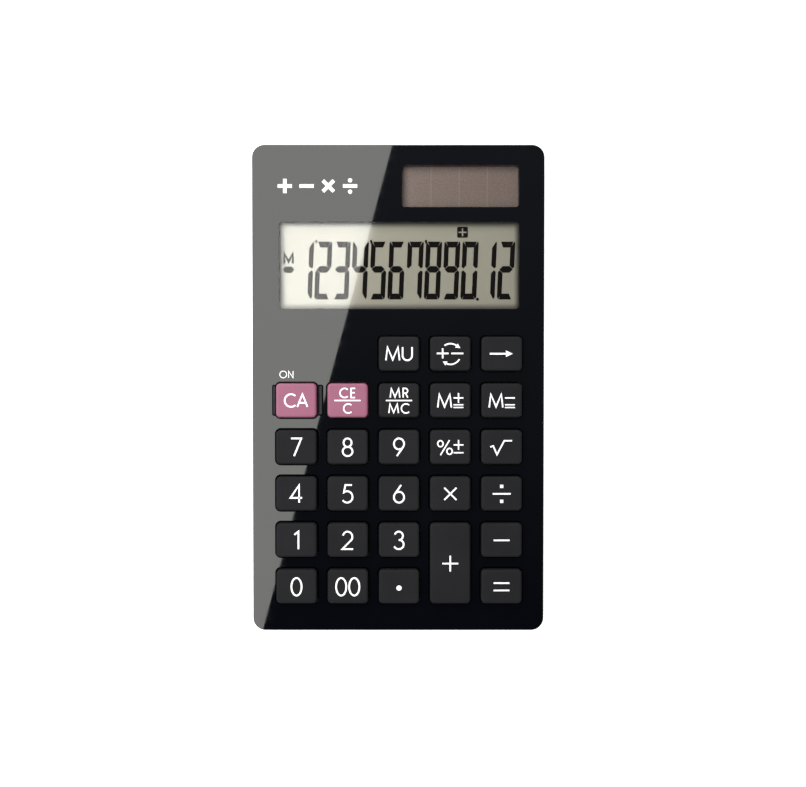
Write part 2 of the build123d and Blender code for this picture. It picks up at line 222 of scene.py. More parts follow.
GLYPHS = {
    "0": [(ring(0, 0.5, 0.29, 0.5), True)],
    "1": [([(-0.17, 0.82), (0.06, 1.0), (0.06, 0)], False)],
    "2": [(arc(0, 0.7, 0.27, 0.3, 165, -36) + [(-0.3, 0), (0.31, 0)], False)],
    "3": [
        (arc(0, 0.755, 0.235, 0.245, 160, -90), False),
        (arc(0, 0.265, 0.28, 0.265, 90, -155), False),
    ],
    "4": [([(0.16, 0), (0.16, 1.0), (-0.33, 0.27), (0.33, 0.27)], False)],
    "5": [([(0.25, 1.0), (-0.12, 1.0)] + arc(-0.02, 0.325, 0.305, 0.325, 127, -145), False)],
    "6": [(ring(0, 0.31, 0.288, 0.31), True), ([(0.12, 1.0), (-0.232, 0.493)], False)],
    "7": [([(-0.29, 1.0), (0.29, 1.0), (-0.12, 0)], False)],
    "8": [(ring(0, 0.76, 0.225, 0.24), True), (ring(0, 0.26, 0.28, 0.26), True)],
    "9": [(ring(0, 0.69, 0.288, 0.31), True), ([(-0.12, 0), (0.232, 0.507)], False)],
    "A": [([(-0.4, 0), (0, 1.0), (0.4, 0)], False), ([(-0.27, 0.32), (0.27, 0.32)], False)],
    "C": [(arc(0.08, 0.5, 0.5, 0.5, 47, 313), False)],
    "E": [
        ([(0.24, 1.0), (-0.2, 1.0), (-0.2, 0), (0.24, 0)], False),
        ([(-0.2, 0.53), (0.2, 0.53)], False),
    ],
    "M": [([(-0.52, 0), (-0.40, 1.0), (0, 0.05), (0.40, 1.0), (0.52, 0)], False)],
    "N": [([(-0.33, 0), (-0.33, 1.0), (0.33, 0), (0.33, 1.0)], False)],
    "O": [(ring(0, 0.5, 0.5, 0.5), True)],
    "R": [
        ([(-0.22, 0), (-0.22, 1.0)] + arc(0.02, 0.74, 0.25, 0.26, 90, -90) + [(-0.22, 0.48)], False),
        ([(0.04, 0.48), (0.28, 0)], False),
    ],
    "U": [([(-0.36, 1.0)] + arc(0, 0.36, 0.36, 0.36, 180, 360) + [(0.36, 1.0)], False)],
    "%": [
        ([(-0.3, 0), (0.3, 1.0)], False),
        (ring(-0.38, 0.77, 0.19, 0.21), True),
        (ring(0.38, 0.23, 0.19, 0.21), True),
    ],
}


def glyph_span(letter):
    """Leftmost and rightmost point of a letter's centre lines."""
    across = [x for points, _ in GLYPHS[letter] for x, _ in points]
    return min(across), max(across)


def text(sheet, letters, centre, height, width, gap=0.0):
    """Letters in a row, centred on a point. Height and gap are outer sizes in millimetres."""
    unit = height - width
    spans = [glyph_span(letter) for letter in letters]
    total = sum((high - low) * unit + width for low, high in spans) + gap * (len(letters) - 1)
    x = centre[0] - total / 2
    base = centre[1] - unit / 2
    for letter, (low, high) in zip(letters, spans):
        origin = x + width / 2 - low * unit
        for points, closed in GLYPHS[letter]:
            sheet.stroke([(origin + px * unit, base + py * unit) for px, py in points], width, closed)
        x += (high - low) * unit + width + gap


# ---- Materials ------------------------------------------------------------------------------


def new_material(name):
    """An empty node material, its tree and its output node."""
    material = bpy.data.materials.new(name)
    material.use_nodes = True
    tree = material.node_tree
    tree.nodes.clear()
    return material, tree, tree.nodes.new("ShaderNodeOutputMaterial")


def noise(tree, scale, detail=2.0):
    """Noise in the row frame. Scale is in features per metre."""
    place = tree.nodes.new("ShaderNodeTexCoord")
    grain = tree.nodes.new("ShaderNodeTexNoise")
    grain.inputs["Scale"].default_value = scale
    grain.inputs["Detail"].default_value = detail
    tree.links.new(place.outputs["Object"], grain.inputs["Vector"])
    return grain.outputs["Fac"]


def spread(tree, value, low, high, source_low=0.3, source_high=0.7):
    """Maps a value from its source range, by default the usual range of noise, to another range."""
    ranged = tree.nodes.new("ShaderNodeMapRange")
    ranged.inputs["From Min"].default_value = source_low
    ranged.inputs["From Max"].default_value = source_high
    ranged.inputs["To Min"].default_value = low
    ranged.inputs["To Max"].default_value = high
    tree.links.new(value, ranged.inputs["Value"])
    return ranged.outputs["Result"]


def blend_colours(tree, factor, first, second):
    """A colour that runs between two with a factor."""
    mix = tree.nodes.new("ShaderNodeMix")
    mix.data_type = "RGBA"
    mix.inputs["A"].default_value = (*first, 1)
    mix.inputs["B"].default_value = (*second, 1)
    tree.links.new(factor, mix.inputs["Factor"])
    return mix.outputs["Result"]


def inside_share(tree, centre, size, margins):
    """1 well inside a rectangle of the plan, 0 at its edges. Margins are left, right, near and far."""
    place = tree.nodes.new("ShaderNodeTexCoord")
    parts = tree.nodes.new("ShaderNodeSeparateXYZ")
    tree.links.new(place.outputs["Object"], parts.inputs["Vector"])
    share = None
    for i, margin in enumerate(margins):
        axis, side = i // 2, 2 * (i % 2) - 1
        edge = centre[axis] + side * size[axis] / 2
        rise = spread(tree, parts.outputs["XY"[axis]], 0, 1, edge * MM, (edge - side * margin) * MM)
        if share is not None:
            product = tree.nodes.new("ShaderNodeMath")
            product.operation = "MULTIPLY"
            tree.links.new(share, product.inputs[0])
            tree.links.new(rise, product.inputs[1])
            rise = product.outputs["Value"]
        share = rise
    return share


def bump(tree, height, strength, depth):
    """Surface relief of a real depth in metres."""
    relief = tree.nodes.new("ShaderNodeBump")
    relief.inputs["Strength"].default_value = strength
    relief.inputs["Distance"].default_value = depth
    tree.links.new(height, relief.inputs["Height"])
    return relief.outputs["Normal"]


def surface(
    name, first, second, rough, patch=90, grain=9000, relief=0.3, depth=0.01 * MM, ior=1.5, shine=0.5
):
    """A solid surface with two close colours in patches, uneven gloss and a fine grain.

    Rough is a range. Patch and grain are in features per metre, relief and depth set the grain's
    bump, and shine is the specular level.
    """
    material, tree, out = new_material(name)
    shader = tree.nodes.new("ShaderNodeBsdfPrincipled")
    shader.inputs["IOR"].default_value = ior
    shader.inputs["Specular IOR Level"].default_value = shine
    patches = noise(tree, patch, PATCH_DETAIL)
    fine = noise(tree, grain, GRAIN_DETAIL)
    tree.links.new(
        blend_colours(tree, spread(tree, patches, 0, 1), first, second), shader.inputs["Base Color"]
    )
    tree.links.new(spread(tree, fine, *rough), shader.inputs["Roughness"])
    if relief:
        tree.links.new(bump(tree, fine, relief, depth), shader.inputs["Normal"])
    tree.links.new(shader.outputs["BSDF"], out.inputs["Surface"])
    return material


def streaked(name, first, second, rough, stretch=(40, 4000, 40), relief=0.2, depth=0.004 * MM):
    """Drawn or brushed metal: fine streaks along one direction."""
    material, tree, out = new_material(name)
    shader = tree.nodes.new("ShaderNodeBsdfPrincipled")
    shader.inputs["Metallic"].default_value = 1.0
    place = tree.nodes.new("ShaderNodeTexCoord")
    scale = tree.nodes.new("ShaderNodeMapping")
    scale.inputs["Scale"].default_value = stretch
    grain = tree.nodes.new("ShaderNodeTexNoise")
    grain.inputs["Scale"].default_value = 1.0
    grain.inputs["Detail"].default_value = GRAIN_DETAIL
    tree.links.new(place.outputs["Object"], scale.inputs["Vector"])
    tree.links.new(scale.outputs["Vector"], grain.inputs["Vector"])
    tree.links.new(
        blend_colours(tree, spread(tree, grain.outputs["Fac"], 0, 1), first, second),
        shader.inputs["Base Color"],
    )
    tree.links.new(spread(tree, grain.outputs["Fac"], *rough), shader.inputs["Roughness"])
    tree.links.new(bump(tree, grain.outputs["Fac"], relief, depth), shader.inputs["Normal"])
    tree.links.new(shader.outputs["BSDF"], out.inputs["Surface"])
    return material


def clear_top(name):
    """The outer skin of a clear window: it reflects like acrylic and lets everything else through."""
    material, tree, out = new_material(name)
    through = tree.nodes.new("ShaderNodeBsdfTransparent")
    through.inputs["Color"].default_value = ACRYLIC_CLEAR
    gloss = tree.nodes.new("ShaderNodeBsdfGlossy")
    gloss.inputs["Color"].default_value = (1, 1, 1, 1)
    fine = noise(tree, ACRYLIC_GRAIN, GRAIN_DETAIL)
    tree.links.new(spread(tree, fine, *ACRYLIC_ROUGHNESS), gloss.inputs["Roughness"])
    share = tree.nodes.new("ShaderNodeFresnel")
    share.inputs["IOR"].default_value = ACRYLIC_IOR
    mix = tree.nodes.new("ShaderNodeMixShader")
    tree.links.new(share.outputs["Fac"], mix.inputs["Fac"])
    tree.links.new(through.outputs["BSDF"], mix.inputs[1])
    tree.links.new(gloss.outputs["BSDF"], mix.inputs[2])
    tree.links.new(mix.outputs["Shader"], out.inputs["Surface"])
    return material


def clear_inside(name):
    """The hidden sides of a clear window, which only tint what lies behind them."""
    material, tree, out = new_material(name)
    through = tree.nodes.new("ShaderNodeBsdfTransparent")
    tint = spread(tree, noise(tree, ACRYLIC_TINT_SCALE), 0, 1)
    tree.links.new(
        blend_colours(tree, tint, (0.985, 0.985, 0.975), (0.995, 0.995, 0.99)), through.inputs["Color"]
    )
    tree.links.new(through.outputs["BSDF"], out.inputs["Surface"])
    return material


def display_surface(name, first, second, window):
    """The display's bright front film, with painted shade that darkens its colour and gloss along the
    window's edges.
    """
    material, tree, out = new_material(name)
    shader = tree.nodes.new("ShaderNodeBsdfPrincipled")
    shader.inputs["IOR"].default_value = FILM_IOR
    low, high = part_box(window)
    size = ((high.x - low.x) / MM - 2 * LENS_FLANGE, (high.y - low.y) / MM - 2 * LENS_FLANGE)
    # Painted shade mask: 0 at the window's edges, 1 well inside
    share = inside_share(tree, middle(window), size, FILM_PAINTED_SHADE_MARGINS)
    tint = blend_colours(tree, spread(tree, noise(tree, FILM_PATCH, PATCH_DETAIL), 0, 1), first, second)
    painted_shade_mix = tree.nodes.new("ShaderNodeMix")
    painted_shade_mix.data_type = "RGBA"
    painted_shade_mix.inputs["A"].default_value = FILM_PAINTED_SHADE
    tree.links.new(tint, painted_shade_mix.inputs["B"])
    tree.links.new(share, painted_shade_mix.inputs["Factor"])
    tree.links.new(painted_shade_mix.outputs["Result"], shader.inputs["Base Color"])
    # Painted shade on the gloss: the specular level drops towards the window's edges
    tree.links.new(spread(tree, share, *FILM_SHINE, 0, 1), shader.inputs["Specular IOR Level"])
    fine = noise(tree, FILM_GRAIN, GRAIN_DETAIL)
    tree.links.new(spread(tree, fine, *FILM_ROUGHNESS), shader.inputs["Roughness"])
    tree.links.new(shader.outputs["BSDF"], out.inputs["Surface"])
    return material


gloss_black = surface(
    "gloss_black", (0.0004, 0.0008, 0.0018), (0.0007, 0.0011, 0.0023), (0.012, 0.03), grain=500, relief=0
)
key_grey = surface(
    "key_grey", (0.0098, 0.0098, 0.0110), (0.0120, 0.0120, 0.0135), (0.6, 0.75), grain=14000, relief=0.35,
    shine=0.05,
)
key_pink = surface(
    "key_pink", (0.204, 0.072, 0.116), (0.225, 0.079, 0.127), (0.40, 0.52), grain=14000, relief=0.3,
    shine=0.2,
)
case_grey = surface(
    "case_grey", (0.016, 0.016, 0.018), (0.021, 0.021, 0.023), (0.45, 0.62), relief=0.5, shine=0.18
)
case_black = surface(
    "case_black", (0.013, 0.013, 0.015), (0.019, 0.019, 0.021), (0.42, 0.66), grain=5200, relief=0.7,
    depth=0.02 * MM, shine=0.22,
)
legend_white = surface("legend_white", (0.80, 0.80, 0.81), (0.86, 0.86, 0.87), (0.35, 0.5), relief=0.1)
legend_pink = surface("legend_pink", (0.84, 0.80, 0.83), (0.90, 0.86, 0.88), (0.35, 0.5), relief=0.1)
display_glass = display_surface(
    "display_glass", (0.445, 0.428, 0.362), (0.465, 0.448, 0.378), "display_lens"
)
display_ink = surface(
    "display_ink", (0.004, 0.0032, 0.0025), (0.006, 0.005, 0.004), (0.7, 0.8), relief=0, ior=1.0
)
solar_brown = surface(
    "solar_brown", (0.181, 0.129, 0.115), (0.258, 0.188, 0.168), (0.30, 0.5), patch=2600, grain=8000,
    relief=0.2,
)
solar_line = surface("solar_line", (0.23, 0.18, 0.165), (0.27, 0.215, 0.195), (0.3, 0.5), relief=0.1)
board_green = surface("board_green", (0.01, 0.09, 0.04), (0.015, 0.12, 0.05), (0.2, 0.35), relief=0.2)
resin = surface("resin", (0.012, 0.012, 0.012), (0.02, 0.02, 0.02), (0.25, 0.4), relief=0.4)
ceramic = surface("ceramic", (0.30, 0.20, 0.12), (0.36, 0.25, 0.16), (0.4, 0.6))
silicone = surface("silicone", (0.28, 0.28, 0.29), (0.33, 0.33, 0.34), (0.55, 0.75), relief=0.4)
foam = surface("foam", (0.008, 0.008, 0.008), (0.02, 0.02, 0.02), (0.9, 1.0), grain=4000, relief=1.0)
clear_glass = surface("clear_glass", (0.55, 0.58, 0.56), (0.60, 0.63, 0.61), (0.05, 0.1), relief=0)
silvered = surface("silvered", (0.5, 0.49, 0.44), (0.56, 0.55, 0.50), (0.3, 0.45), relief=0.2)
wire_red = surface("wire_red", (0.35, 0.015, 0.012), (0.42, 0.02, 0.018), (0.4, 0.55))
wire_black = surface("wire_black", (0.012, 0.012, 0.012), (0.02, 0.02, 0.02), (0.4, 0.55))
screw_black = streaked("screw_black", (0.10, 0.10, 0.11), (0.18, 0.18, 0.19), (0.28, 0.42))
nickel = streaked("nickel", (0.55, 0.53, 0.48), (0.68, 0.66, 0.61), (0.18, 0.34))
cell_steel = streaked("cell_steel", (0.60, 0.60, 0.61), (0.74, 0.74, 0.75), (0.14, 0.26))
window_top = clear_top("window_top")
window_inside = clear_inside("window_inside")

PINK_KEYS = ("key_clear_all", "key_clear_entry")
NODE_MATERIALS = {
    "face_panel": gloss_black,
    "front_case": case_grey,
    "rear_case": case_black,
    "battery_cover": case_black,
    "case_screws": screw_black,
    "battery_cover_screw": screw_black,
    "display_polariser": display_glass,
    "display_upper_glass": clear_glass,
    "display_lower_glass": clear_glass,
    "display_reflector": silvered,
    "display_foam_pad": foam,
    "display_gasket": foam,
    "display_connector_strip": silicone,
    "solar_cell": solar_brown,
    "solar_wire_positive": wire_red,
    "solar_wire_negative": wire_black,
    "circuit_board": board_green,
    "controller_chip": resin,
    "capacitors": ceramic,
    "resistors": resin,
    "diode": resin,
    "keypad_mat": silicone,
    "button_cell": cell_steel,
    "battery_contact_positive": nickel,
    "battery_contact_negative": nickel,
}

key_nodes = sorted(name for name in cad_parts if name.startswith("key_"))
for name in key_nodes:
    NODE_MATERIALS[name] = key_pink if name in PINK_KEYS else key_grey
for name, material in NODE_MATERIALS.items():
    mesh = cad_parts[name].data
    mesh.materials.clear()
    mesh.materials.append(material)


# ---- Clear windows --------------------------------------------------------------------------


def make_window(name, node, corner):
    """A flush clear insert with a hidden flange. Its outer skin and its inner faces differ."""
    low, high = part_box(node)
    bottom, top = low.z, high.z
    box_low, box_high = (low.x / MM, low.y / MM), (high.x / MM, high.y / MM)
    levels = [
        (bottom, 0.0),
        (bottom + LENS_FLANGE_THICK * MM, 0.0),
        (bottom + LENS_FLANGE_THICK * MM, LENS_FLANGE),
        (top - LENS_CHAMFER * MM, LENS_FLANGE),
        (top, LENS_FLANGE + LENS_CHAMFER),
    ]
    verts, faces = [], []
    for z, inset in levels:
        outline = rounded_outline(
            (box_low[0] + inset, box_low[1] + inset),
            (box_high[0] - inset, box_high[1] - inset),
            corner + LENS_FLANGE - inset,
        )
        verts += [(x * MM, y * MM, z) for x, y in outline]
    size = len(verts) // len(levels)
    for level in range(len(levels) - 1):
        for i in range(size):
            a, b = level * size + i, level * size + (i + 1) % size
            faces.append([a, b, b + size, a + size])
    faces.append(list(range(len(verts) - size, len(verts))))
    faces.append(list(reversed(range(size))))
    piece = add_piece(name, verts, faces, window_top)
    piece.data.materials.append(window_inside)
    outer_skin = range((len(levels) - 2) * size, (len(levels) - 1) * size + 1)
    for polygon in piece.data.polygons:
        polygon.material_index = 0 if polygon.index in outer_skin else 1
    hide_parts(node)


make_window("display_window", "display_lens", DISPLAY_LENS_CORNER)
make_window("solar_window", "solar_lens", SOLAR_LENS_CORNER)

# ---- The liquid crystal display --------------------------------------------------------------

READING = "123456789012"
SEGMENTS_LIT = {
    "0": "abcdef",
    "1": "bc",
    "2": "abdeg",
    "3": "abcdg",
    "4": "bcfg",
    "5": "acdfg",
    "6": "acdefg",
    "7": "abcf",
    "8": "abcdefg",
    "9": "abcdfg",
}

# One digit, in millimetres
DIGIT_WIDTH = 3.86
DIGIT_HEIGHT = 13.95
DIGIT_MIDDLE = 7.26
DIGIT_PITCH = 4.416
DIGIT_SLANT = math.tan(math.radians(2.4))
SIDE_THICK = 1.12
END_THICK = 1.42
MIDDLE_THICK = 1.58

# How far its segments stop short of each other
END_TIP = 0.42
END_SHOULDER = 0.98
MIDDLE_TIP = 0.32
MIDDLE_SHOULDER = 1.12
SIDE_FROM_END = 1.55
SIDE_FROM_MIDDLE = 0.95
WAIST_TIP = 0.42
WAIST_GAP = 0.2
WAIST_OUTER_GAP = 0.6
HEAD_ACROSS = 0.2
HEAD_DOWN = 0.3
FOOT_ACROSS = 0.3
FOOT_TIP_UP = 0.05
FOOT_OUTER_UP = 0.6

# The row of digits, the memory sign and the boxed plus from the middle of the window, the bar from
# the memory sign, and the commas and the point from their digit
DIGITS_DROP = 8.0
DIGITS_REACH = 28.07
COMMA_PLACES = (0, 3, 6)
COMMA_ASIDE = 0.5
COMMA_RISE = 0.15
COMMA_RADIUS = 0.29
COMMA_TAIL = ((-0.29, 0.1), (-0.1, -0.6), (0.29, 0.1))
POINT_PLACE = 9
POINT_ASIDE = 0.3
POINT_RISE = 0.05
POINT_RADIUS = 0.36
MEMORY_PLACE = (-26.7, 1.85)
MEMORY_SHAPE = ((-1.0, -1.15), (-1.0, 1.15), (0.0, -0.75), (1.0, 1.15), (1.0, -1.15))
MEMORY_STROKE = 0.56
BAR_DROP = 2.67
BAR_SHAPE = ((-1.43, 0), (-0.8, -0.78), (0.7, -0.78), (1.38, 0), (0.7, 0.78), (-0.8, 0.78))
BOX_PLACE = (15.32, 8.2)
BOX_HALF = 1.3
BOX_CORNER = 0.3
BOX_CORNER_STEPS = 5
CROSS_HALF = 0.16
CROSS_REACH = 0.95


def segment_outlines():
    """Outlines of the seven segments of an upright digit, from its lower left corner."""
    width, height, waist = DIGIT_WIDTH, DIGIT_HEIGHT, DIGIT_MIDDLE
    inner = width - SIDE_THICK
    tip = width - WAIST_TIP
    upper_right = [
        (inner, height - SIDE_FROM_END),
        (inner, waist + SIDE_FROM_MIDDLE),
        (tip, waist + WAIST_GAP),
        (width, waist + WAIST_OUTER_GAP),
        (width, height - HEAD_DOWN),
        (width - HEAD_ACROSS, height),
    ]
    lower_right = [
        (inner, waist - SIDE_FROM_MIDDLE),
        (inner, SIDE_FROM_END),
        (width - FOOT_ACROSS, FOOT_TIP_UP),
        (width, FOOT_OUTER_UP),
        (width, waist - WAIST_OUTER_GAP),
        (tip, waist - WAIST_GAP),
    ]
    bottom = [
        (END_TIP, 0),
        (width - END_TIP, 0),
        (width - END_SHOULDER, END_THICK),
        (END_SHOULDER, END_THICK),
    ]
    top = [
        (END_TIP, height),
        (END_SHOULDER, height - END_THICK),
        (width - END_SHOULDER, height - END_THICK),
        (width - END_TIP, height),
    ]
    across = [
        (MIDDLE_TIP, waist),
        (MIDDLE_SHOULDER, waist - MIDDLE_THICK / 2),
        (width - MIDDLE_SHOULDER, waist - MIDDLE_THICK / 2),
        (width - MIDDLE_TIP, waist),
        (width - MIDDLE_SHOULDER, waist + MIDDLE_THICK / 2),
        (MIDDLE_SHOULDER, waist + MIDDLE_THICK / 2),
    ]
    return {
        "a": top,
        "b": upper_right,
        "c": lower_right,
        "d": bottom,
        "e": [(width - x, y) for x, y in reversed(lower_right)],
        "f": [(width - x, y) for x, y in reversed(upper_right)],
        "g": across,
    }


display_mid = middle("display_lens")
display_top_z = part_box("display_polariser")[1].z
digits_base = display_mid.y - DIGITS_DROP
digits_end = display_mid.x + DIGITS_REACH
lean = DIGIT_HEIGHT * DIGIT_SLANT
segments = segment_outlines()
shown = Print(display_top_z)
for place, digit in enumerate(READING):
    right_top = digits_end - DIGIT_PITCH * (len(READING) - 1 - place)
    left = right_top - DIGIT_WIDTH - lean
    for part in SEGMENTS_LIT[digit]:
        slanted = [(x + y * DIGIT_SLANT, y) for x, y in segments[part]]
        shown.plate(moved(slanted, left, digits_base))
    if place in COMMA_PLACES:
        comma_x, comma_y = right_top + COMMA_ASIDE, digits_base + DIGIT_HEIGHT
        shown.dot((comma_x, comma_y + COMMA_RISE), COMMA_RADIUS)
        shown.plate(moved(COMMA_TAIL, comma_x, comma_y))
    if place == POINT_PLACE:
        shown.dot((right_top + POINT_ASIDE - lean, digits_base + POINT_RISE), POINT_RADIUS)
memory_x, memory_y = display_mid.x + MEMORY_PLACE[0], display_mid.y + MEMORY_PLACE[1]
shown.stroke(moved(MEMORY_SHAPE, memory_x, memory_y), MEMORY_STROKE)
shown.plate(moved(BAR_SHAPE, memory_x, memory_y - BAR_DROP))
shown.make("display_digits", display_ink)

# The boxed plus: four dark corners leave the light cross between them
boxed = Print(display_top_z)
box_x, box_y = display_mid.x + BOX_PLACE[0], display_mid.y + BOX_PLACE[1]
corner_mid = BOX_HALF - BOX_CORNER
quarter = [(CROSS_HALF, CROSS_HALF), (CROSS_REACH, CROSS_HALF), (CROSS_REACH, 0), (BOX_HALF, 0)]
quarter += arc(corner_mid, corner_mid, BOX_CORNER, BOX_CORNER, 0, 90, BOX_CORNER_STEPS)
quarter += [(0, BOX_HALF), (0, CROSS_REACH), (CROSS_HALF, CROSS_REACH)]
for sx in (-1, 1):
    for sy in (-1, 1):
        outline = [(box_x + sx * x, box_y + sy * y) for x, y in quarter]
        boxed.plate(outline if sx * sy > 0 else list(reversed(outline)))
boxed.make("display_plus_mark", display_ink)

# ---- The solar strip's cell borders ----------------------------------------------------------

BORDER_COUNT = 3
BORDER_FIRST = -6.97
BORDER_PITCH = 6.79
BORDER_REACH = 5.6
BORDER_WIDTH = 0.28
BORDER_THICK = 0.01 * MM

solar_mid = middle("solar_lens")
solar_lines = Print(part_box("solar_cell")[1].z, BORDER_THICK)
for i in range(BORDER_COUNT):
    x = solar_mid.x + BORDER_FIRST + BORDER_PITCH * i
    solar_lines.line((x, solar_mid.y - BORDER_REACH), (x, solar_mid.y + BORDER_REACH), BORDER_WIDTH)
solar_lines.make("solar_cell_borders", solar_line)

# ---- Key legends: sizes in millimetres, and places from the middle of the key -----------------

LETTER_HEIGHT = 3.5
POWER_LETTER_HEIGHT = 3.4
NUMBER_HEIGHT = 4.6
FRACTION_HEIGHT = 2.5
FRACTION_RISE = 1.8
FRACTION_DROP = 1.9
FRACTION_HALF = 3.12
PLUS_SIZE = 3.8
SMALL_PLUS_SIZE = 2.35
MINUS_HALF = 1.9
EQUALS_RISE = 0.88
MULTIPLY_HALF = 1.45
DIVIDE_HALF = 2.15
DIVIDE_RISE = 1.8
DIVIDE_DOT = 0.76
DECIMAL_DROP = 0.3
DECIMAL_RADIUS = 0.62
ROOT_SHAPE = ((-2.75, 0.05), (-2.05, 0.3), (-1.15, -1.75), (0.6, 1.55), (2.45, 1.55))
ARROW_SHAFT = ((-2.9, 0), (1.3, 0))
ARROW_HEAD = ((0.95, 0.76), (0.95, -0.76), (2.55, 0))
ARROW_STROKE = 0.4
PERCENT_SLASH = ((-2.38, -1.9), (-0.2, 1.7))
PERCENT_RINGS = ((-2.38, 0.84), (-0.2, -0.98))
PERCENT_RADII = (0.64, 0.72)
PERCENT_PLUS = (1.95, 0.56)
PERCENT_MINUS = ((0.78, -1.32), (3.12, -1.32))
SUM_LETTER = (-1.4, -0.08)
SUM_PLUS = (1.92, 0.62)
SUM_MINUS_RISE = 0.62
SUM_LINE_DROPS = (1.02, 1.66)
SUM_LINE_SPAN = (0.74, 3.1)
SUM_LINE_STROKE = 0.28
SWAP_SIGNS = (((-3.26, 0.07), (-0.46, 0.07)), ((-1.86, -1.12), (-1.86, 1.28)), ((0.2, 0.07), (3.07, 0.07)))
CHASE_RADIUS = 2.42
CHASE_HEAD_HALF = 0.56

# For each arrow of the swap sign: its centre's rise, its start and end angle, and the place of its
# tip from that centre
SWAP_ARROWS = ((-0.02, 126, 54, (2.33, 1.37)), (-0.12, -29, -114, (-1.8, -1.72)))


def legend(node, draw):
    """Prints a key's legend on its top and lets it ride on the key."""
    sheet = Print(key_top_z)
    draw(sheet, *middle(node))
    material = legend_pink if node in PINK_KEYS else legend_white
    sheet.make(node.replace("key_", "legend_"), material, node)


def words(letters, height, width=STROKE, gap=0.0):
    """A legend of one row of letters."""
    return lambda sheet, x, y: text(sheet, letters, (x, y), height, width, gap)


def fraction(upper, lower):
    """Two rows of letters with a bar between them."""

    def draw(sheet, x, y):
        text(sheet, upper, (x, y + FRACTION_RISE), FRACTION_HEIGHT, SMALL_STROKE, gap=0.5)
        text(sheet, lower, (x, y - FRACTION_DROP), FRACTION_HEIGHT, SMALL_STROKE, gap=0.4)
        sheet.line((x - FRACTION_HALF, y), (x + FRACTION_HALF, y), SMALL_STROKE)

    return draw


def plus_sign(sheet, x, y, size, width=STROKE):
    """Two crossed lines of one length."""
    sheet.line((x - size / 2, y), (x + size / 2, y), width)
    sheet.line((x, y - size / 2), (x, y + size / 2), width)


def draw_multiply(sheet, x, y):
    """Two crossed diagonals."""
    for rise in (-MULTIPLY_HALF, MULTIPLY_HALF):
        sheet.line((x - MULTIPLY_HALF, y - rise), (x + MULTIPLY_HALF, y + rise), STROKE)


def draw_divide(sheet, x, y):
    """A bar between two square dots."""
    sheet.line((x - DIVIDE_HALF, y), (x + DIVIDE_HALF, y), STROKE)
    for rise in (-DIVIDE_RISE, DIVIDE_RISE):
        sheet.line((x - DIVIDE_DOT / 2, y + rise), (x + DIVIDE_DOT / 2, y + rise), DIVIDE_DOT)


def draw_minus(sheet, x, y):
    """One bar."""
    sheet.line((x - MINUS_HALF, y), (x + MINUS_HALF, y), STROKE)


def draw_equals(sheet, x, y):
    """Two bars, one over the other."""
    for rise in (-EQUALS_RISE, EQUALS_RISE):
        draw_minus(sheet, x, y + rise)


def draw_decimal(sheet, x, y):
    """A round point, a little below the middle."""
    sheet.dot((x, y - DECIMAL_DROP), DECIMAL_RADIUS)


def draw_root(sheet, x, y):
    """A root sign."""
    sheet.stroke(moved(ROOT_SHAPE, x, y), THIN_STROKE)


def draw_arrow(sheet, x, y):
    """An arrow to the right."""
    sheet.stroke(moved(ARROW_SHAFT, x, y), ARROW_STROKE)
    sheet.plate(moved(ARROW_HEAD, x, y))


def draw_percent(sheet, x, y):
    """A percent sign beside a plus over a minus."""
    sheet.stroke(moved(PERCENT_SLASH, x, y), SMALL_STROKE)
    for ring_x, ring_y in moved(PERCENT_RINGS, x, y):
        sheet.stroke(ring(ring_x, ring_y, *PERCENT_RADII), SMALL_STROKE, True)
    plus_sign(sheet, x + PERCENT_PLUS[0], y + PERCENT_PLUS[1], SMALL_PLUS_SIZE, SMALL_STROKE)
    sheet.stroke(moved(PERCENT_MINUS, x, y), SMALL_STROKE)


def memory_sum(positive):
    """M beside a small plus or minus over two lines."""

    def draw(sheet, x, y):
        low, high = x + SUM_LINE_SPAN[0], x + SUM_LINE_SPAN[1]
        text(sheet, "M", (x + SUM_LETTER[0], y + SUM_LETTER[1]), LETTER_HEIGHT, STROKE)
        if positive:
            plus_sign(sheet, x + SUM_PLUS[0], y + SUM_PLUS[1], SMALL_PLUS_SIZE, SMALL_STROKE)
        else:
            sheet.line((low, y + SUM_MINUS_RISE), (high, y + SUM_MINUS_RISE), SMALL_STROKE)
        for drop in SUM_LINE_DROPS:
            sheet.line((low, y - drop), (high, y - drop), SUM_LINE_STROKE)

    return draw


def chase(sheet, x, y, start, end, tip):
    """An arc round a centre that ends in an arrowhead, whose tip is at an offset from the centre."""
    bow = arc(x, y, CHASE_RADIUS, CHASE_RADIUS, start, end)
    sheet.stroke(bow, THIN_STROKE)
    base = Vector(bow[-1])
    point = Vector((x + tip[0], y + tip[1]))
    ahead = (point - base).normalized()
    across = Vector((-ahead.y, ahead.x)) * CHASE_HEAD_HALF
    sheet.plate([tuple(base - across), tuple(point), tuple(base + across)])


def draw_swap(sheet, x, y):
    """Plus and minus with an arrow over and an arrow under them, which chase each other."""
    for line in SWAP_SIGNS:
        sheet.stroke(moved(line, x, y), STROKE)
    for rise, start, end, tip in SWAP_ARROWS:
        chase(sheet, x, y + rise, start, end, tip)


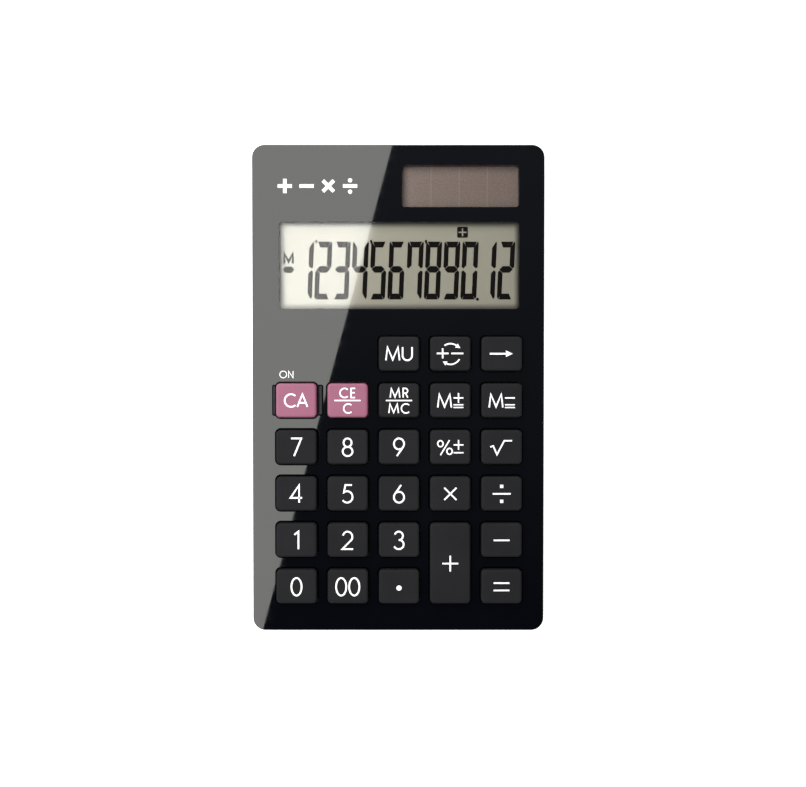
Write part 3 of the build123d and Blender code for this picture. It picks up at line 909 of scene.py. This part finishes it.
LEGENDS = {
    "key_memory_total": words("MU", LETTER_HEIGHT, gap=0.35),
    "key_sign_change": draw_swap,
    "key_backspace": draw_arrow,
    "key_clear_all": words("CA", POWER_LETTER_HEIGHT, gap=0.1),
    "key_clear_entry": fraction("CE", "C"),
    "key_memory_recall": fraction("MR", "MC"),
    "key_memory_plus": memory_sum(True),
    "key_memory_minus": memory_sum(False),
    "key_percent": draw_percent,
    "key_square_root": draw_root,
    "key_multiply": draw_multiply,
    "key_divide": draw_divide,
    "key_plus": lambda sheet, x, y: plus_sign(sheet, x, y, PLUS_SIZE),
    "key_minus": draw_minus,
    "key_equals": draw_equals,
    "key_double_zero": words("00", NUMBER_HEIGHT, DIGIT_STROKE, gap=0.3),
    "key_decimal_point": draw_decimal,
}
for digit in "0123456789":
    LEGENDS["key_" + digit] = words(digit, NUMBER_HEIGHT, DIGIT_STROKE)
for node in key_nodes:
    legend(node, LEGENDS[node])

# ---- Printing on the face --------------------------------------------------------------------

POWER_WORD_PLACE = (-2.45, 6.2)
POWER_WORD_HEIGHT = 1.8
POWER_WORD_STROKE = 0.17
MARKS_START = 27.3
MARK_PITCH = 5.2
MARK_STROKE = 0.85
MARK_HALF = 1.7
MARK_CROSS_HALF = 1.3
MARK_DOT_RISE = 1.35
MARK_DOT_RADIUS = 0.5

power_key = middle("key_clear_all")
word_place = (power_key.x + POWER_WORD_PLACE[0], power_key.y + POWER_WORD_PLACE[1])
face_print = Print(face_z)
text(face_print, "ON", word_place, POWER_WORD_HEIGHT, POWER_WORD_STROKE, gap=0.3)
mark_y = solar_mid.y
plus_x, minus_x, multiply_x, divide_x = (display_mid.x - MARKS_START + MARK_PITCH * i for i in range(4))
plus_sign(face_print, plus_x, mark_y, 2 * MARK_HALF, MARK_STROKE)
face_print.line((minus_x - MARK_HALF, mark_y), (minus_x + MARK_HALF, mark_y), MARK_STROKE)
for side in (-1, 1):
    rise = MARK_CROSS_HALF * side
    start = (multiply_x - MARK_CROSS_HALF, mark_y - rise)
    end = (multiply_x + MARK_CROSS_HALF, mark_y + rise)
    face_print.line(start, end, MARK_STROKE)
    face_print.dot((divide_x, mark_y + MARK_DOT_RISE * side), MARK_DOT_RADIUS)
face_print.line((divide_x - MARK_HALF, mark_y), (divide_x + MARK_HALF, mark_y), MARK_STROKE)
face_print.make("face_printing", legend_white)


# ---- Camera, light, studio and floor -----------------------------------------------------------

# The camera: lengths in metres, apart from its sensor's width in millimetres
VIEW_DISTANCE = 300 * MM
VIEW_TILT = math.radians(1.5)
FIELD_WIDTH = 193.5 * MM
AIM = Vector((1.13 * MM, -1.17 * MM, face_z))
SENSOR_WIDTH = 36.0
CLIP_START = 0.01

# The straight edge of the softbox's reflection, as it lies on the face in millimetres
EDGE_TOP = Vector((-1.4, 58.3))
EDGE_BOTTOM = Vector((-32.7, -58.3))

# The softbox: width and length in metres, how far it is moved along its edge, and its power
CARD_SIZE = (0.34, 1.1)
CARD_SHIFT = 0.3
CARD_POWER = 5.07
CARD_COLOUR = (1.0, 1.0, 0.965)

# The studio: strengths of the bright low band and of the dim ceiling, and the directions they span
BAND_STRENGTH = 0.95
BAND_FADE = (0.5, 0.93)
BAND_SHARE = (1.05, 1.4)
BAND_SPAN = (-0.7, 0.7)
CEILING_STRENGTH = (0.035, 0.165)
CEILING_SPAN = (-0.2, 0.18)

# The floor, in metres, and how brightly it glows
FLOOR_HALF = 1.6
FLOOR_DROP = 0.05 * MM
FLOOR_COLOUR = (0.86, 0.86, 0.86, 1)
FLOOR_ROUGHNESS = 0.7
FLOOR_GLOW = 0.78


def make_camera():
    """Looks straight down on the face, tilted a little so that the display end comes nearer."""
    data = bpy.data.cameras.new("camera")
    data.sensor_width = SENSOR_WIDTH
    data.lens = SENSOR_WIDTH * VIEW_DISTANCE / FIELD_WIDTH
    data.clip_start = CLIP_START
    camera = bpy.data.objects.new("camera", data)
    bpy.context.collection.objects.link(camera)
    back = Vector((0, math.sin(VIEW_TILT), math.cos(VIEW_TILT)))
    camera.location = AIM + back * VIEW_DISTANCE
    camera.rotation_euler = (-VIEW_TILT, 0, 0)
    bpy.context.scene.camera = camera
    return camera


def make_card(camera):
    """A large softbox on the left, level with the camera. Its straight edge is what the face reflects."""
    eye = Vector((camera.location.x, camera.location.y))
    top = EDGE_TOP * MM * 2 - eye
    bottom = EDGE_BOTTOM * MM * 2 - eye
    along = (top - bottom).normalized()
    away = Vector((-along.y, along.x))
    centre = (top + bottom) / 2 + away * CARD_SIZE[0] / 2 + along * CARD_SHIFT
    light = bpy.data.lights.new("softbox", "AREA")
    light.shape = "RECTANGLE"
    light.size = CARD_SIZE[0]
    light.size_y = CARD_SIZE[1]
    light.energy = CARD_POWER
    light.color = CARD_COLOUR
    card = bpy.data.objects.new("softbox", light)
    bpy.context.collection.objects.link(card)
    card.location = (centre.x, centre.y, camera.location.z)
    card.rotation_euler = (0, 0, math.atan2(along.y, along.x) - math.pi / 2)
    card.visible_camera = False


def make_world():
    """A studio that is bright low down all round. Its dim ceiling grows a little brighter towards the
    display end, which shades the black face from top to bottom.
    """
    world = bpy.data.worlds.new("studio")
    bpy.context.scene.world = world
    world.use_nodes = True
    tree = world.node_tree
    tree.nodes.clear()
    out = tree.nodes.new("ShaderNodeOutputWorld")
    sky = tree.nodes.new("ShaderNodeBackground")
    direction = tree.nodes.new("ShaderNodeTexCoord")
    parts = tree.nodes.new("ShaderNodeSeparateXYZ")
    tree.links.new(direction.outputs["Generated"], parts.inputs["Vector"])
    low_band = spread(tree, parts.outputs["Z"], BAND_STRENGTH, 0.0, *BAND_FADE)
    band_share = spread(tree, parts.outputs["Y"], *BAND_SHARE, *BAND_SPAN)
    ceiling = spread(tree, parts.outputs["Y"], *CEILING_STRENGTH, *CEILING_SPAN)
    strength = tree.nodes.new("ShaderNodeMath")
    strength.operation = "MULTIPLY_ADD"
    tree.links.new(low_band, strength.inputs[0])
    tree.links.new(band_share, strength.inputs[1])
    tree.links.new(ceiling, strength.inputs[2])
    sky.inputs["Color"].default_value = (1, 1, 1, 1)
    tree.links.new(strength.outputs["Value"], sky.inputs["Strength"])
    tree.links.new(sky.outputs["Background"], out.inputs["Surface"])


def make_floor():
    """A plain white table top that stays white in the soft shadow round the case, and that is clear
    from below, so that the back can be looked at.
    """
    material, tree, out = new_material("floor_white")
    shader = tree.nodes.new("ShaderNodeBsdfPrincipled")
    shader.inputs["Base Color"].default_value = FLOOR_COLOUR
    shader.inputs["Roughness"].default_value = FLOOR_ROUGHNESS
    shader.inputs["Emission Color"].default_value = (1, 1, 1, 1)
    shader.inputs["Emission Strength"].default_value = FLOOR_GLOW
    through = tree.nodes.new("ShaderNodeBsdfTransparent")
    facing = tree.nodes.new("ShaderNodeNewGeometry")
    mix = tree.nodes.new("ShaderNodeMixShader")
    tree.links.new(facing.outputs["Backfacing"], mix.inputs["Fac"])
    tree.links.new(shader.outputs["BSDF"], mix.inputs[1])
    tree.links.new(through.outputs["BSDF"], mix.inputs[2])
    tree.links.new(mix.outputs["Shader"], out.inputs["Surface"])
    mesh = bpy.data.meshes.new("floor")
    half, z = FLOOR_HALF, -FLOOR_DROP
    corners = [(-half, -half, z), (half, -half, z), (half, half, z), (-half, half, z)]
    mesh.from_pydata(corners, [], [(0, 1, 2, 3)])
    mesh.materials.append(material)
    floor = bpy.data.objects.new("floor", mesh)
    bpy.context.collection.objects.link(floor)


make_card(make_camera())
make_world()
make_floor()
bpy.context.scene.view_settings.view_transform = "Standard"
